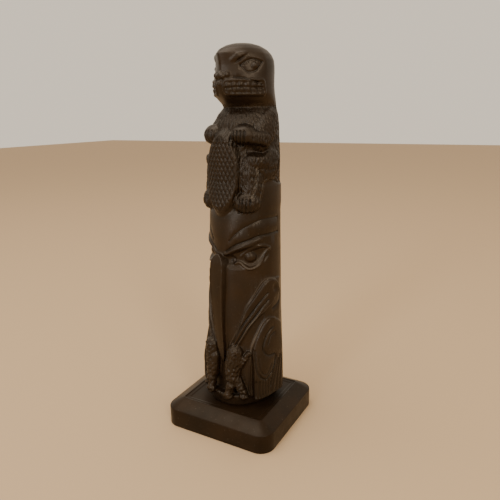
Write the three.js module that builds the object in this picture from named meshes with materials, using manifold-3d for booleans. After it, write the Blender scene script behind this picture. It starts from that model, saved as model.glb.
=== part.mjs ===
// Small souvenir totem pole: one dark casting carved with a seated animal above a bird, on a square plinth.
// Millimetres, +Z up, origin at the centre of the plinth's underside, plinth front towards -Y.
import * as THREE from "three";
import { mergeVertices } from "three/addons/utils/BufferGeometryUtils.js";
import Module from "manifold-3d";

const wasm = await Module();
wasm.setup();

// Pole: height from its foot to the crown, girth across the middle, and how far it is turned on the plinth
const POLE_HEIGHT = 213.6;
const POLE_GIRTH = 44.8;
const POLE_TURN = -12;
const FOOT_LEDGE = 6.6;

// Plinth: flat margin left around the foot on each side, then the slope, the upright side and the corners
const MARGIN_SIDE = 4.2;
const MARGIN_FRONT = 7.2;
const MARGIN_BACK = 0.3;
const POLE_SIDE_SHIFT = 1.2;
const SLOPE_RUN = 9;
const SLOPE_RISE = 4.7;
const SIDE_HEIGHT = 11.7;
const CORNER_RADIUS = 10.5;
const CORNER_STEPS = 6;

// The carving is laid out on a pole of this height and girth, and grows with the two sizes above
const LAID_OUT_HEIGHT = 213.6;
const LAID_OUT_GIRTH = 44.8;
const tall = POLE_HEIGHT / LAID_OUT_HEIGHT;
const wide = POLE_GIRTH / LAID_OUT_GIRTH;
const ENVELOPE = LAID_OUT_GIRTH / 2;

// Sections of the bare column, from foot to crown: height, middle's set-back, half-width,
// reach to the front, reach to the back, and how round the front is (2 is an ellipse, 1 a wedge)
const BACK_ROUND = 2.3;
const LOG_SINK = 0.4;
const LOG_BOTTOM = (FOOT_LEDGE - LOG_SINK) / tall;
const SECTIONS = [
  { at: 0, back: 0, half: 24.2, front: 20, rear: 21.3, round: 2.5 },
  { at: 24, back: 0, half: 23.8, front: 20.2, rear: 21.2, round: 2.4 },
  { at: 40, back: 0, half: 23.1, front: 21.4, rear: 21.1, round: 2 },
  { at: 58, back: 0, half: 22.4, front: 22.6, rear: 21, round: 1.75 },
  { at: 84, back: 0, half: 22.2, front: 22.6, rear: 20.8, round: 1.65 },
  { at: 94, back: 0, half: 22.2, front: 21.8, rear: 20.6, round: 1.75 },
  { at: 104, back: 0, half: 22, front: 21.2, rear: 20.6, round: 1.85 },
  { at: 112, back: 0, half: 21.9, front: 20.8, rear: 20.6, round: 1.85 },
  { at: 119, back: 0, half: 21.6, front: 19.8, rear: 21.4, round: 1.9 },
  { at: 123, back: 0, half: 21.2, front: 18.4, rear: 21.6, round: 2 },
  { at: 135, back: 0.5, half: 20.8, front: 17, rear: 21.4, round: 2 },
  { at: 137.5, back: 1, half: 20.2, front: 17, rear: 20.4, round: 2 },
  { at: 152, back: 1, half: 20.4, front: 16.8, rear: 21, round: 2 },
  { at: 164, back: 1.5, half: 19.8, front: 16.8, rear: 20.4, round: 2 },
  { at: 170, back: 2.5, half: 19.2, front: 16.8, rear: 19.4, round: 2 },
  { at: 175, back: 4.6, half: 17.8, front: 16, rear: 16.8, round: 2 },
  { at: 179.5, back: 7.1, half: 15.8, front: 14.4, rear: 14.2, round: 2 },
  { at: 182, back: 6.2, half: 16.4, front: 17, rear: 14, round: 1.8 },
  { at: 184.6, back: 3.4, half: 17.2, front: 18.4, rear: 16.2, round: 1.6 },
  { at: 189, back: 1.6, half: 17.4, front: 19.6, rear: 16.7, round: 1.6 },
  { at: 194, back: 1, half: 17.6, front: 18.8, rear: 17.3, round: 1.55 },
  { at: 198, back: 0.8, half: 17.6, front: 18.6, rear: 17.5, round: 1.3 },
  { at: 202, back: 0.8, half: 17.6, front: 19.2, rear: 17.5, round: 1.22 },
  { at: 206.6, back: 1, half: 16.4, front: 20.2, rear: 16.4, round: 1.3 },
  { at: 209, back: 1.5, half: 14, front: 17.4, rear: 14, round: 1.5 },
  { at: 211.2, back: 2, half: 10.4, front: 12.4, rear: 10.2, round: 1.8 },
  { at: 212.8, back: 2, half: 6, front: 7, rear: 6, round: 2 },
];
const HEAD_TOP = LAID_OUT_HEIGHT;

const FRONT_STEP = 4.5;
const FRONT_END = 108;
const REAR_STEPS = 5;
const LEVELS = 53;

const smooth = (x) => {
  const t = THREE.MathUtils.clamp(x, 0, 1);
  return t * t * (3 - 2 * t);
};
const mix = THREE.MathUtils.lerp;

// A value between two stations of the section table
function sectionAt(height) {
  const last = SECTIONS.length - 1;
  let upper = 1;
  while (upper < last && SECTIONS[upper].at < height) upper += 1;
  const low = SECTIONS[upper - 1];
  const high = SECTIONS[upper];
  const share = THREE.MathUtils.clamp((height - low.at) / (high.at - low.at), 0, 1);
  const section = {};
  for (const key of Object.keys(low)) section[key] = mix(low[key], high[key], share);
  return section;
}

// Carved marks live on the unrolled pole: "around" is millimetres from the front centre line, "up" is height
const aroundFrom = (degrees) => THREE.MathUtils.degToRad(degrees) * ENVELOPE;

// Distance from a point to an open line of [degrees, height] points, and the side it lies on
function lineDistance(around, up, line) {
  let best = { gap: Infinity, side: 0 };
  for (let i = 1; i < line.length; i += 1) {
    const ax = aroundFrom(line[i - 1][0]);
    const ay = line[i - 1][1];
    const dx = aroundFrom(line[i][0]) - ax;
    const dy = line[i][1] - ay;
    const t = THREE.MathUtils.clamp(((around - ax) * dx + (up - ay) * dy) / (dx * dx + dy * dy), 0, 1);
    const gap = Math.hypot(around - ax - t * dx, up - ay - t * dy);
    if (gap < best.gap) {
      const side = Math.sign(dx * (up - ay) - dy * (around - ax));
      best = { gap, side };
    }
  }
  return best;
}

// A rounded mound or hollow centred on the unrolled pole, turned by "lean" degrees
function mound(around, up, { at, size, rise, lean = 0, edge = 1 }) {
  const turn = THREE.MathUtils.degToRad(lean);
  const dx = around - aroundFrom(at[0]);
  const dy = up - at[1];
  const u = (dx * Math.cos(turn) + dy * Math.sin(turn)) / size[0];
  const v = (dy * Math.cos(turn) - dx * Math.sin(turn)) / size[1];
  const fall = 1 - Math.hypot(u, v) ** 2;
  return fall > 0 ? rise * fall ** (0.5 * edge) : 0;
}

// A rounded ridge or groove along a line
function ridge(around, up, { line, half, rise }) {
  const { gap } = lineDistance(around, up, line);
  return gap < half ? rise * Math.sqrt(1 - (gap / half) ** 2) : 0;
}

// The bird's folded wing: its leading edge, and the edges of the feather rows behind it
const WING_EDGE = [
  [108, 66], [101, 73.9], [97, 77.4], [89, 80], [78, 80.4], [69, 78.8], [61, 74.9], [51, 69],
  [43, 64.2], [34, 55], [24, 46.4], [15, 39.6],
];
const WING_ROWS = [
  [[76, 71.3], [64, 66.9], [54, 62], [42, 55.9], [30, 48]],
  [[103, 71], [91, 68.4], [74, 62.5], [57, 56.7], [47, 51.9], [38, 46.1], [24, 36]],
];
const WING_FEATHERS = [
  [107, 49.8], [91, 55.1], [78, 56.4], [68, 53.3], [60, 48.1], [53, 42.5], [48, 36.1], [47, 26.7], [46, 7],
];
const WING_FEATHER_TIP = [
  [86, 46], [74, 43], [66, 38], [56, 33], [55, 27], [58, 22.1], [64, 19.2], [71, 19.2], [81, 23.1], [89, 28.8],
];
const WING_RISE = 1.5;
const WING_TIP = { rise: 2.3, top: 48, run: 30, width: 16 };
const WING_END = 114;

function wings(around, up) {
  let rise = 0;
  const edge = lineDistance(around, up, WING_EDGE);
  const behind = smooth((aroundFrom(WING_END) - around) / 5);
  if (edge.side > 0) rise += WING_RISE * smooth(edge.gap / 1.6) * behind;
  for (const row of WING_ROWS) rise -= ridge(around, up, { line: row, half: 1.5, rise: 1.1 });
  rise += ridge(around, up, { line: WING_FEATHERS, half: 1.7, rise: 1.1 });
  const feather = lineDistance(around, up, WING_FEATHERS);
  if (feather.side > 0) {
    rise += WING_TIP.rise * smooth((WING_TIP.top - up) / WING_TIP.run) * smooth(1 - feather.gap / WING_TIP.width);
  }
  rise -= ridge(around, up, { line: WING_FEATHER_TIP, half: 1.4, rise: 0.9 });
  for (let degrees = 56; degrees <= 104; degrees += 12) {
    rise -= ridge(around, up, { line: [[degrees + 3, 17], [degrees, 3]], half: 1.4, rise: 0.8 });
  }
  return rise;
}

// The bird's face: two brow bands, the hollow round each eye and the lids
const BROW_UPPER = [[17, 104.4], [41, 112.2], [59, 115.3], [76, 117], [104, 116.4]];
const BROW_LOWER = [[11, 98], [36, 103.4], [56, 106], [70, 107.6], [104, 107.8]];
const EYE_RIM = [[80, 99.4], [65, 92.5], [50, 88], [39, 90], [30, 91.4]];

function birdFace(around, up) {
  let rise = 0;
  rise -= ridge(around, up, { line: BROW_UPPER, half: 1.7, rise: 1.3 });
  rise -= ridge(around, up, { line: BROW_LOWER, half: 1.7, rise: 1.3 });
  rise += ridge(around, up, { line: [[8, 97], [34, 100], [52, 103], [70, 104]], half: 2.4, rise: 1.5 });
  rise -= mound(around, up, { at: [46, 95.4], size: [14.5, 7], rise: 2.6, lean: 14, edge: 1.4 });
  rise += ridge(around, up, { line: EYE_RIM, half: 1.3, rise: 1.2 });
  rise -= mound(around, up, { at: [18, 92.5], size: [6, 5], rise: 2.4 });
  return rise;
}

// The seated animal: scaled tail, paws and forearms, knees, haunches, feet
const TAIL_RISE = 5;
const TAIL = { at: [0, 143.4], size: [13.4, 24.5] };

function seatedBody(around, up) {
  let rise = 0;
  const tail = mound(around, up, { ...TAIL, rise: 1 });
  if (tail > 0) rise = Math.max(rise, TAIL_RISE * smooth(tail / 0.46));
  rise = Math.max(rise, mound(around, up, { at: [50, 138.4], size: [8, 14.4], rise: 3.8, lean: 12 }));
  rise = Math.max(rise, mound(around, up, { at: [86, 144.4], size: [14.5, 11.5], rise: 3.6, lean: -16 }));
  rise = Math.max(rise, mound(around, up, { at: [60, 149.4], size: [8.4, 5.6], rise: 4.4, lean: -4 }));
  rise = Math.max(rise, mound(around, up, { at: [45, 128], size: [7.6, 5.6], rise: 4.8 }));
  rise = Math.max(rise, mound(around, up, { at: [35, 164], size: [8.4, 5.8], rise: 6.2 }));
  rise = Math.max(rise, ridge(around, up, { line: [[34, 163.4], [52, 163], [70, 161.4]], half: 4.6, rise: 4.4 }));
  rise = Math.max(rise, ridge(around, up, { line: [[72, 161.6], [82, 166], [90, 171]], half: 8, rise: 2.6 }));
  rise -= mound(around, up, { at: [53, 156.2], size: [8.4, 3.4], rise: 2.4, lean: -3 });
  return rise;
}

// Tail scales: two families of slanting grooves
function tailScales(around, up) {
  const inside = mound(around, up, { ...TAIL, rise: 1 });
  if (inside < 0.3) return 0;
  const pitch = 9;
  const one = Math.abs((((around + up) / pitch) % 1 + 1) % 1 - 0.5);
  const two = Math.abs((((around - up) / pitch) % 1 + 1) % 1 - 0.5);
  return -0.9 * (smooth(1 - one * 4) + smooth(1 - two * 4));
}

// The head: brow wedge, eye hollow, nose and the sunk tooth panel with its lips
const MOUTH = { from: 22, to: 84, low: 186.4, high: 192.2 };

function head(around, up) {
  let rise = 0;
  rise -= mound(around, up, { at: [60, 200], size: [11, 4.4], rise: 1.3, lean: 2 });
  rise += ridge(around, up, { line: [[34, 204], [56, 206.2], [80, 205.4]], half: 2.2, rise: 1 });
  rise += mound(around, up, { at: [0, 193.8], size: [7.5, 4], rise: 1.6 });
  rise += mound(around, up, { at: [20, 193.6], size: [4.4, 3], rise: 1.6 });
  const across = Math.min(around - aroundFrom(MOUTH.from), aroundFrom(MOUTH.to) - around);
  const upright = Math.min(up - MOUTH.low, MOUTH.high - up);
  rise -= 1.2 * smooth(across / 1.6) * smooth(upright / 1);
  return rise;
}

// Height of the carving above the bare column at one spot, the same on both sides of the front centre line
function carving(degrees, up) {
  const around = aroundFrom(Math.abs(degrees));
  let rise = 0;
  if (up < 86) rise += wings(around, up);
  if (up > 84 && up < 124) rise += birdFace(around, up);
  if (up > 118 && up < 182) rise += seatedBody(around, up) + tailScales(around, up);
  if (up > 182) rise += head(around, up);
  return rise;
}

// A point on the carved skin
function skinPoint(degrees, up) {
  const section = sectionAt(up);
  const angle = THREE.MathUtils.degToRad(degrees);
  const reach = Math.cos(angle) > 0 ? section.front : section.rear;
  const power = 2 / (Math.cos(angle) > 0 ? section.round : BACK_ROUND);
  const x = section.half * Math.sign(Math.sin(angle)) * Math.abs(Math.sin(angle)) ** power;
  const y = section.back - reach * Math.sign(Math.cos(angle)) * Math.abs(Math.cos(angle)) ** power;
  const out = new THREE.Vector2(x, y).normalize();
  const rise = carving(degrees, up);
  return new THREE.Vector3((x + out.x * rise) * wide, (y + out.y * rise) * wide, up * tall);
}

// The angles of one ring, close together over the carved front and far apart over the plain back
function ringAngles() {
  const half = [];
  for (let degrees = 0; degrees <= FRONT_END; degrees += FRONT_STEP) half.push(degrees);
  for (let i = 1; i <= REAR_STEPS; i += 1) half.push(mix(FRONT_END, 180, i / REAR_STEPS));
  const mirrored = half.slice(1, -1).reverse().map((degrees) => -degrees);
  return [...half, ...mirrored];
}

// The carved column as one closed skin of stacked rings with a flat foot and a crown point
function columnGeometry() {
  const angles = ringAngles();
  const points = [];
  const faces = [];
  const crownRing = SECTIONS[SECTIONS.length - 1].at;
  for (let level = 0; level <= LEVELS; level += 1) {
    const up = mix(LOG_BOTTOM, crownRing, level / LEVELS);
    for (const degrees of angles) points.push(skinPoint(degrees, up));
  }
  const ring = angles.length;
  for (let level = 0; level < LEVELS; level += 1) {
    for (let i = 0; i < ring; i += 1) {
      const j = (i + 1) % ring;
      const low = level * ring;
      const high = low + ring;
      faces.push(low + i, low + j, high + j, low + i, high + j, high + i);
    }
  }
  const foot = points.push(new THREE.Vector3(0, 0, LOG_BOTTOM * tall)) - 1;
  const crown = points.push(new THREE.Vector3(0, 2 * wide, HEAD_TOP * tall)) - 1;
  const topRing = LEVELS * ring;
  for (let i = 0; i < ring; i += 1) {
    const j = (i + 1) % ring;
    faces.push(foot, j, i);
    faces.push(crown, topRing + i, topRing + j);
  }
  const geometry = new THREE.BufferGeometry().setFromPoints(points);
  geometry.setIndex(faces);
  return geometry;
}

// A solid ready for joining: only positions are kept and shared corners are merged
function solid(geometry) {
  const plain = geometry.clone();
  plain.deleteAttribute("normal");
  plain.deleteAttribute("uv");
  const merged = mergeVertices(plain, 1e-4);
  const vertProperties = Float32Array.from(merged.attributes.position.array);
  const triVerts = Uint32Array.from(merged.index.array);
  return new wasm.Manifold(new wasm.Mesh({ numProp: 3, vertProperties, triVerts }));
}

function fromSolid(body) {
  const mesh = body.getMesh();
  const geometry = new THREE.BufferGeometry();
  geometry.setAttribute("position", new THREE.BufferAttribute(Float32Array.from(mesh.vertProperties), 3));
  geometry.setIndex(Array.from(mesh.triVerts));
  return geometry;
}

// An egg-shaped lump at a place on the laid-out pole, and its twin across the front centre line
function lump({ at, size, sides = 12, rings = 8, lean = [0, 0, 0] }, mirrored) {
  const flip = mirrored ? -1 : 1;
  const geometry = new THREE.SphereGeometry(1, sides, rings);
  geometry.scale(size[0] * wide, size[1] * wide, size[2] * tall);
  geometry.rotateX(THREE.MathUtils.degToRad(lean[0]));
  geometry.rotateY(THREE.MathUtils.degToRad(lean[1] * flip));
  geometry.rotateZ(THREE.MathUtils.degToRad(lean[2] * flip));
  geometry.translate(at[0] * flip * wide, at[1] * wide, at[2] * tall);
  return solid(geometry);
}

// A tapering limb between two places, closed by a rounded end at each
function limb({ from, to, thick, sides = 8 }, mirrored) {
  const flip = mirrored ? -1 : 1;
  const start = new THREE.Vector3(from[0] * flip * wide, from[1] * wide, from[2] * tall);
  const end = new THREE.Vector3(to[0] * flip * wide, to[1] * wide, to[2] * tall);
  const length = start.distanceTo(end);
  const [r0, r1] = thick.map((r) => r * wide);
  const profile = [new THREE.Vector2(0, -r0)];
  for (const turn of [-45, 0]) {
    const angle = THREE.MathUtils.degToRad(turn);
    profile.push(new THREE.Vector2(r0 * Math.cos(angle), r0 * Math.sin(angle)));
  }
  for (const turn of [0, 45]) {
    const angle = THREE.MathUtils.degToRad(turn);
    profile.push(new THREE.Vector2(r1 * Math.cos(angle), length + r1 * Math.sin(angle)));
  }
  profile.push(new THREE.Vector2(0, length + r1));
  const geometry = new THREE.LatheGeometry(profile, sides);
  const direction = end.clone().sub(start).normalize();
  geometry.applyQuaternion(new THREE.Quaternion().setFromUnitVectors(new THREE.Vector3(0, 1, 0), direction));
  geometry.translate(start.x, start.y, start.z);
  return solid(geometry);
}

// The long beak: an arched outline, thick at the root and tapering to the tip, bent back to the breast
const BEAK = {
  half: 4.6, waist: 3.2, top: 96, shoulder: 84.5, belly: 70, taper: 52, tip: 27,
  frontTop: 25.8, frontTip: 22.8, inner: 14,
};

function beak() {
  const shape = new THREE.Shape();
  shape.moveTo(0, BEAK.tip * tall);
  shape.lineTo(1.4 * wide, (BEAK.tip + 3) * tall);
  shape.lineTo(BEAK.waist * wide, BEAK.taper * tall);
  shape.lineTo(BEAK.half * wide, BEAK.belly * tall);
  shape.lineTo(BEAK.half * 1.08 * wide, BEAK.shoulder * tall);
  shape.quadraticCurveTo(BEAK.half * wide, BEAK.top * tall, 0, BEAK.top * tall);
  shape.quadraticCurveTo(-BEAK.half * wide, BEAK.top * tall, -BEAK.half * 1.08 * wide, BEAK.shoulder * tall);
  shape.lineTo(-BEAK.half * wide, BEAK.belly * tall);
  shape.lineTo(-BEAK.waist * wide, BEAK.taper * tall);
  shape.lineTo(-1.4 * wide, (BEAK.tip + 3) * tall);
  shape.closePath();
  const depth = (BEAK.frontTop - BEAK.inner) * wide;
  const geometry = new THREE.ExtrudeGeometry(shape, {
    depth, steps: 1, curveSegments: 5, bevelEnabled: true, bevelThickness: 1.5, bevelSize: 1, bevelOffset: -1,
    bevelSegments: 2,
  });
  geometry.rotateX(Math.PI / 2);
  geometry.translate(0, -(BEAK.inner * wide), 0);
  const position = geometry.attributes.position;
  for (let i = 0; i < position.count; i += 1) {
    const up = position.getZ(i) / tall;
    const share = smooth((BEAK.taper - up) / (BEAK.taper - BEAK.tip));
    const forward = (BEAK.frontTop - BEAK.frontTip) * wide * share;
    position.setY(i, position.getY(i) + forward);
  }
  return solid(geometry);
}

// Legs, toes and round claws of the bird
function birdFeet(mirrored) {
  const leg = { from: [9.3, -20.6, 37], to: [9, -21.6, 19], thick: [4, 3.8] };
  const innerToe = { from: [8.6, -22, 18.4], to: [7.4, -24.8, 9.4], thick: [3.4, 2.6] };
  const outerToe = { from: [10.2, -21.2, 18], to: [14.8, -19.8, 9.6], thick: [3.4, 2.6] };
  const innerClaw = { at: [7.2, -25.2, 6.9], size: [2.9, 2.9, 3], sides: 8, rings: 6 };
  const outerClaw = { at: [15, -19.6, 6.9], size: [2.9, 2.9, 3], sides: 8, rings: 6 };
  return [
    limb(leg, mirrored), limb(innerToe, mirrored), limb(outerToe, mirrored),
    lump(innerClaw, mirrored), lump(outerClaw, mirrored),
  ];
}

// Place on the carved skin, in laid-out units, a little under or over the surface
function onSkin(degrees, up, over = 0) {
  const point = skinPoint(degrees, up);
  const out = new THREE.Vector2(point.x, point.y).normalize();
  return [point.x / wide + out.x * over, point.y / wide + out.y * over, up];
}

// Eyes of both creatures, and the two rows of teeth
function eyes(mirrored) {
  const birdEye = { at: onSkin(52, 94.6, -1.2), size: [4.3, 4.3, 4.3], sides: 10, rings: 7 };
  const animalEye = { at: onSkin(61, 200, -1), size: [2.7, 2.7, 2.7], sides: 8, rings: 5 };
  return [lump(birdEye, mirrored), lump(animalEye, mirrored)];
}

function teeth(mirrored) {
  const row = [];
  const count = 5;
  for (let i = 0; i < count; i += 1) {
    const degrees = mix(MOUTH.from + 7, MOUTH.to - 8, i / (count - 1));
    for (const up of [mix(MOUTH.low, MOUTH.high, 0.26), mix(MOUTH.low, MOUTH.high, 0.76)]) {
      const place = onSkin(degrees, up, -0.3);
      row.push(lump({ at: place, size: [1.9, 1.9, 1.6], sides: 5, rings: 3 }, mirrored));
    }
  }
  return row;
}

// Fingers of the two paws that rest on the tail
function fingers(mirrored) {
  const row = [];
  for (const degrees of [20, 28, 36, 44]) {
    const place = onSkin(degrees, 162.6, -0.6);
    row.push(lump({ at: place, size: [1.6, 2.2, 4.4], sides: 6, rings: 4 }, mirrored));
  }
  return row;
}

// The pole's reach at its foot, and the smaller slab under it that carries the claws
const FOOT = { half: 23.6, front: 22.6, rear: 20.5, round: 2.4, steps: 40 };
const SLAB = { half: 19.4, front: 25, rear: 18.6, round: 2.2, steps: 40 };

function superOval({ half, front, rear, round, steps }) {
  const outline = [];
  for (let i = 0; i < steps; i += 1) {
    const angle = (i / steps) * Math.PI * 2;
    const reach = Math.cos(angle) > 0 ? front : rear;
    const x = Math.sign(Math.sin(angle)) * Math.abs(Math.sin(angle)) ** (2 / round) * half;
    const y = -Math.sign(Math.cos(angle)) * Math.abs(Math.cos(angle)) ** (2 / round) * reach;
    outline.push(new THREE.Vector2(x * wide, y * wide));
  }
  return outline;
}

function footLedge() {
  const shape = new THREE.Shape(superOval(SLAB));
  return solid(new THREE.ExtrudeGeometry(shape, { depth: FOOT_LEDGE, bevelEnabled: false }));
}

function carvedPole() {
  let body = solid(columnGeometry()).add(footLedge()).add(beak());
  for (const mirrored of [false, true]) {
    const parts = [...birdFeet(mirrored), ...eyes(mirrored), ...teeth(mirrored), ...fingers(mirrored)];
    for (const piece of parts) body = body.add(piece);
  }
  return fromSolid(body);
}

// Plinth: the foot's own footprint, turned, plus the margins and the slope, sets its sides
const turn = THREE.MathUtils.degToRad(POLE_TURN);
const footprint = superOval(FOOT).map((point) => point.rotateAround(new THREE.Vector2(), turn));
const reachOf = (pick) => Math.max(...footprint.map(pick));
const FOOT_RIGHT = reachOf((point) => point.x);
const FOOT_FRONT = reachOf((point) => -point.y);
const FOOT_BACK = reachOf((point) => point.y);
const PLINTH_WIDTH = 2 * (FOOT_RIGHT + MARGIN_SIDE + SLOPE_RUN);
const PLINTH_DEPTH = FOOT_FRONT + FOOT_BACK + MARGIN_FRONT + MARGIN_BACK + 2 * SLOPE_RUN;
const PLINTH_HEIGHT = SIDE_HEIGHT + SLOPE_RISE;
const POLE_Y = PLINTH_DEPTH / 2 - SLOPE_RUN - MARGIN_BACK - FOOT_BACK;

// Outline of the plinth with rounded corners, drawn in by "inset"
function plinthOutline(inset) {
  const radius = Math.max(CORNER_RADIUS - inset * 0.8, 1);
  const cornerX = PLINTH_WIDTH / 2 - inset - radius;
  const cornerY = PLINTH_DEPTH / 2 - inset - radius;
  const outline = [];
  for (const [quarter, sx, sy] of [[0, 1, 1], [1, -1, 1], [2, -1, -1], [3, 1, -1]]) {
    for (let i = 0; i <= CORNER_STEPS; i += 1) {
      const angle = ((quarter + i / CORNER_STEPS) * Math.PI) / 2;
      outline.push([sx * cornerX + radius * Math.cos(angle), sy * cornerY + radius * Math.sin(angle)]);
    }
  }
  return outline;
}

// Stacked outlines: a small foot chamfer, the upright side, then the slope up to the flat top
const EDGE = 0.8;
const PLINTH_STACK = [
  [0, EDGE], [EDGE, 0], [SIDE_HEIGHT, 0], [PLINTH_HEIGHT, SLOPE_RUN],
];

function plinth() {
  const rings = PLINTH_STACK.map(([height, inset]) => ({ height, outline: plinthOutline(inset) }));
  const count = rings[0].outline.length;
  const points = [];
  for (const { height, outline } of rings) {
    for (const [x, y] of outline) points.push(new THREE.Vector3(x, y, height));
  }
  const faces = [];
  for (let level = 0; level < rings.length - 1; level += 1) {
    for (let i = 0; i < count; i += 1) {
      const j = (i + 1) % count;
      const low = level * count;
      const high = low + count;
      faces.push(low + i, low + j, high + j, low + i, high + j, high + i);
    }
  }
  const under = points.push(new THREE.Vector3(0, 0, 0)) - 1;
  const over = points.push(new THREE.Vector3(0, 0, PLINTH_HEIGHT)) - 1;
  const top = (rings.length - 1) * count;
  for (let i = 0; i < count; i += 1) {
    const j = (i + 1) % count;
    faces.push(under, j, i);
    faces.push(over, top + i, top + j);
  }
  const geometry = new THREE.BufferGeometry().setFromPoints(points);
  geometry.setIndex(faces);
  return geometry;
}

function darkResin() {
  return new THREE.MeshStandardMaterial({ color: 0x2b241e, roughness: 0.42, metalness: 0 });
}

// The pole is turned a little to its own right on the plinth, and stands behind the plinth's middle
const poleGeometry = carvedPole();
poleGeometry.rotateZ(turn);
poleGeometry.translate(POLE_SIDE_SHIFT, POLE_Y, PLINTH_HEIGHT);
poleGeometry.computeVertexNormals();
const pole = new THREE.Mesh(poleGeometry, darkResin());
pole.name = "carved_pole";

const plinthGeometry = plinth();
plinthGeometry.computeVertexNormals();
const base = new THREE.Mesh(plinthGeometry, darkResin());
base.name = "plinth";

const totem = new THREE.Group();
totem.add(pole, base);
export default totem;
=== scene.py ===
import math

import bmesh
import bpy
import numpy as np
from mathutils import Matrix, Vector, noise


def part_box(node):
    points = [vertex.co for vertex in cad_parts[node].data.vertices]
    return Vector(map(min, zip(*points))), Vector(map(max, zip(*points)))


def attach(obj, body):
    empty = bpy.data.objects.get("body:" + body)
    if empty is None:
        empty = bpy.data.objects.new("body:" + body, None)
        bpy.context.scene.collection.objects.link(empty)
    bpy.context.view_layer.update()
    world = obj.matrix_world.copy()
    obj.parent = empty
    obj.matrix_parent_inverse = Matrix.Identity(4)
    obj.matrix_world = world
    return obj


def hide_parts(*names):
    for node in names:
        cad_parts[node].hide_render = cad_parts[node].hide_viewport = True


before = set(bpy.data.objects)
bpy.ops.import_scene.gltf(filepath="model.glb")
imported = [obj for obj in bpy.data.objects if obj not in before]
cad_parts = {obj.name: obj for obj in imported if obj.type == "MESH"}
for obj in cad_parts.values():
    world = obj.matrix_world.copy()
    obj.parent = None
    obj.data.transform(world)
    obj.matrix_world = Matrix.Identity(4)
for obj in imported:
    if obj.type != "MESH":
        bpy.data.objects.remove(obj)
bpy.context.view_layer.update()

mm = 0.001

# where the pole stands: turned a little on its plinth, behind the plinth's middle
poleHigh = Vector(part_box("carved_pole")[1])
plinthLow, plinthHigh = (Vector(corner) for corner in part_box("plinth"))
stand = {
    "turn": math.radians(-12),
    "x": 1.2 * mm,
    "y": 5.25 * mm,
    "z": plinthHigh.z,
    "height": (poleHigh.z - plinthHigh.z) / mm,
}
footPlace = Matrix.Translation((stand["x"], stand["y"], stand["z"]))
toPlinth = footPlace @ Matrix.Rotation(stand["turn"], 4, "Z")

# the camera, solved from the plinth's edges: degrees, and mm from the plinth's middle
view = {
    "azimuth": 30.69, "distance": 295.9, "height": 191.2,
    "aim": 29.31, "down": 15.12, "roll": -0.93,
    "lens": 36.05, "sensor": 36, "clip": 0.01,
}


def addCamera():
    azimuth = math.radians(view["azimuth"])
    yaw, down, roll = (math.radians(view[key]) for key in ("aim", "down", "roll"))
    forward = Vector((-math.sin(yaw) * math.cos(down), math.cos(yaw) * math.cos(down), -math.sin(down)))
    right = Vector((math.cos(yaw), math.sin(yaw), 0))
    up = right.cross(forward)
    tiltedRight = right * math.cos(roll) + up * math.sin(roll)
    tiltedUp = up * math.cos(roll) - right * math.sin(roll)
    data = bpy.data.cameras.new("camera")
    data.sensor_width = view["sensor"]
    data.lens = view["lens"]
    data.clip_start = view["clip"]
    camera = bpy.data.objects.new("camera", data)
    bpy.context.scene.collection.objects.link(camera)
    matrix = Matrix((tiltedRight, tiltedUp, -forward)).transposed().to_4x4()
    out = view["distance"]
    matrix.translation = Vector((out * math.sin(azimuth), -out * math.cos(azimuth), view["height"])) * mm
    camera.matrix_world = matrix
    bpy.context.scene.camera = camera


addCamera()
print("camera set")

# the bare column in mm: at each height above its foot, how far its middle lies back, its half width,
# its reach to the front and to the rear, and how square its front is (2 is round)
column = {
    "at": [0, 24, 40, 58, 84, 92, 98, 106, 112, 117, 120, 121.5, 135, 137.5, 152, 164,
           170, 175, 177.2, 179, 181, 183.5, 186, 190, 194, 197.5, 201, 204, 207, 209.6, 211.8, 213],
    "back": [0, 0, 0, 0, 0, 0, 0, 0, 0, 0, 0, 0, 0.5, 1, 1, 1.5,
             2.5, 4.6, 6, 7, 6.4, 4, 2.4, 1.4, 1.2, 1.2, 1.2, 1.2, 1.4, 1.8, 2, 2],
    "half": [24.3, 23.9, 23.2, 22.5, 22.3, 22.2, 22.2, 22, 21.8, 21.6, 21.4, 21.3, 20.9, 20.5, 20.6, 19.9,
             19.2, 17.9, 16.8, 15.8, 16.2, 17, 17.5, 17.7, 17.8, 17.9, 17.8, 17.4, 15.9, 13.2, 9.4, 5.6],
    "front": [20, 20.2, 21.4, 22.6, 22.6, 22, 21, 21.2, 20.8, 20.2, 19.4, 18.6, 17, 17, 16.8, 16.8,
              16.8, 16, 15.2, 14.8, 16.2, 17.8, 19.2, 19.6, 18.6, 18.2, 18.2, 18.8, 19.6, 16.8, 11.6, 6.6],
    "rear": [21.4, 21.3, 21.3, 21.2, 21, 20.9, 20.9, 21, 21.2, 21.6, 21.8, 21.8, 21.6, 20.8, 21.2, 20.6,
             19.6, 17, 15.2, 14.2, 14, 15.8, 16.6, 17, 17.2, 17.4, 17.5, 17.4, 16, 13.6, 9.6, 5.6],
    "square": [2.5, 2.4, 2, 1.75, 1.65, 1.7, 1.75, 1.85, 1.85, 1.9, 1.95, 2, 2, 2, 2, 2,
               2, 2, 2, 1.95, 1.85, 1.7, 1.62, 1.6, 1.5, 1.4, 1.34, 1.3, 1.34, 1.5, 1.8, 2],
    "backSquare": 2.25, "bottom": 6.2, "top": 213.6,
    "acrossGrid": 400, "upGrid": 520,
    "unroll": 22.4,      # the radius on which the carving is laid out flat
}


def smooth(x):
    t = np.clip(x, 0, 1)
    return t * t * (3 - 2 * t)


def fadeIn(value, start, run):
    return smooth((value - start) / run)


def fadeOut(value, end, run):
    return smooth((end - value) / run)


# on the unrolled pole "around" is mm from the front centre line and "up" is mm above the foot
def aroundFrom(degrees):
    return np.radians(degrees) * column["unroll"]


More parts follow.
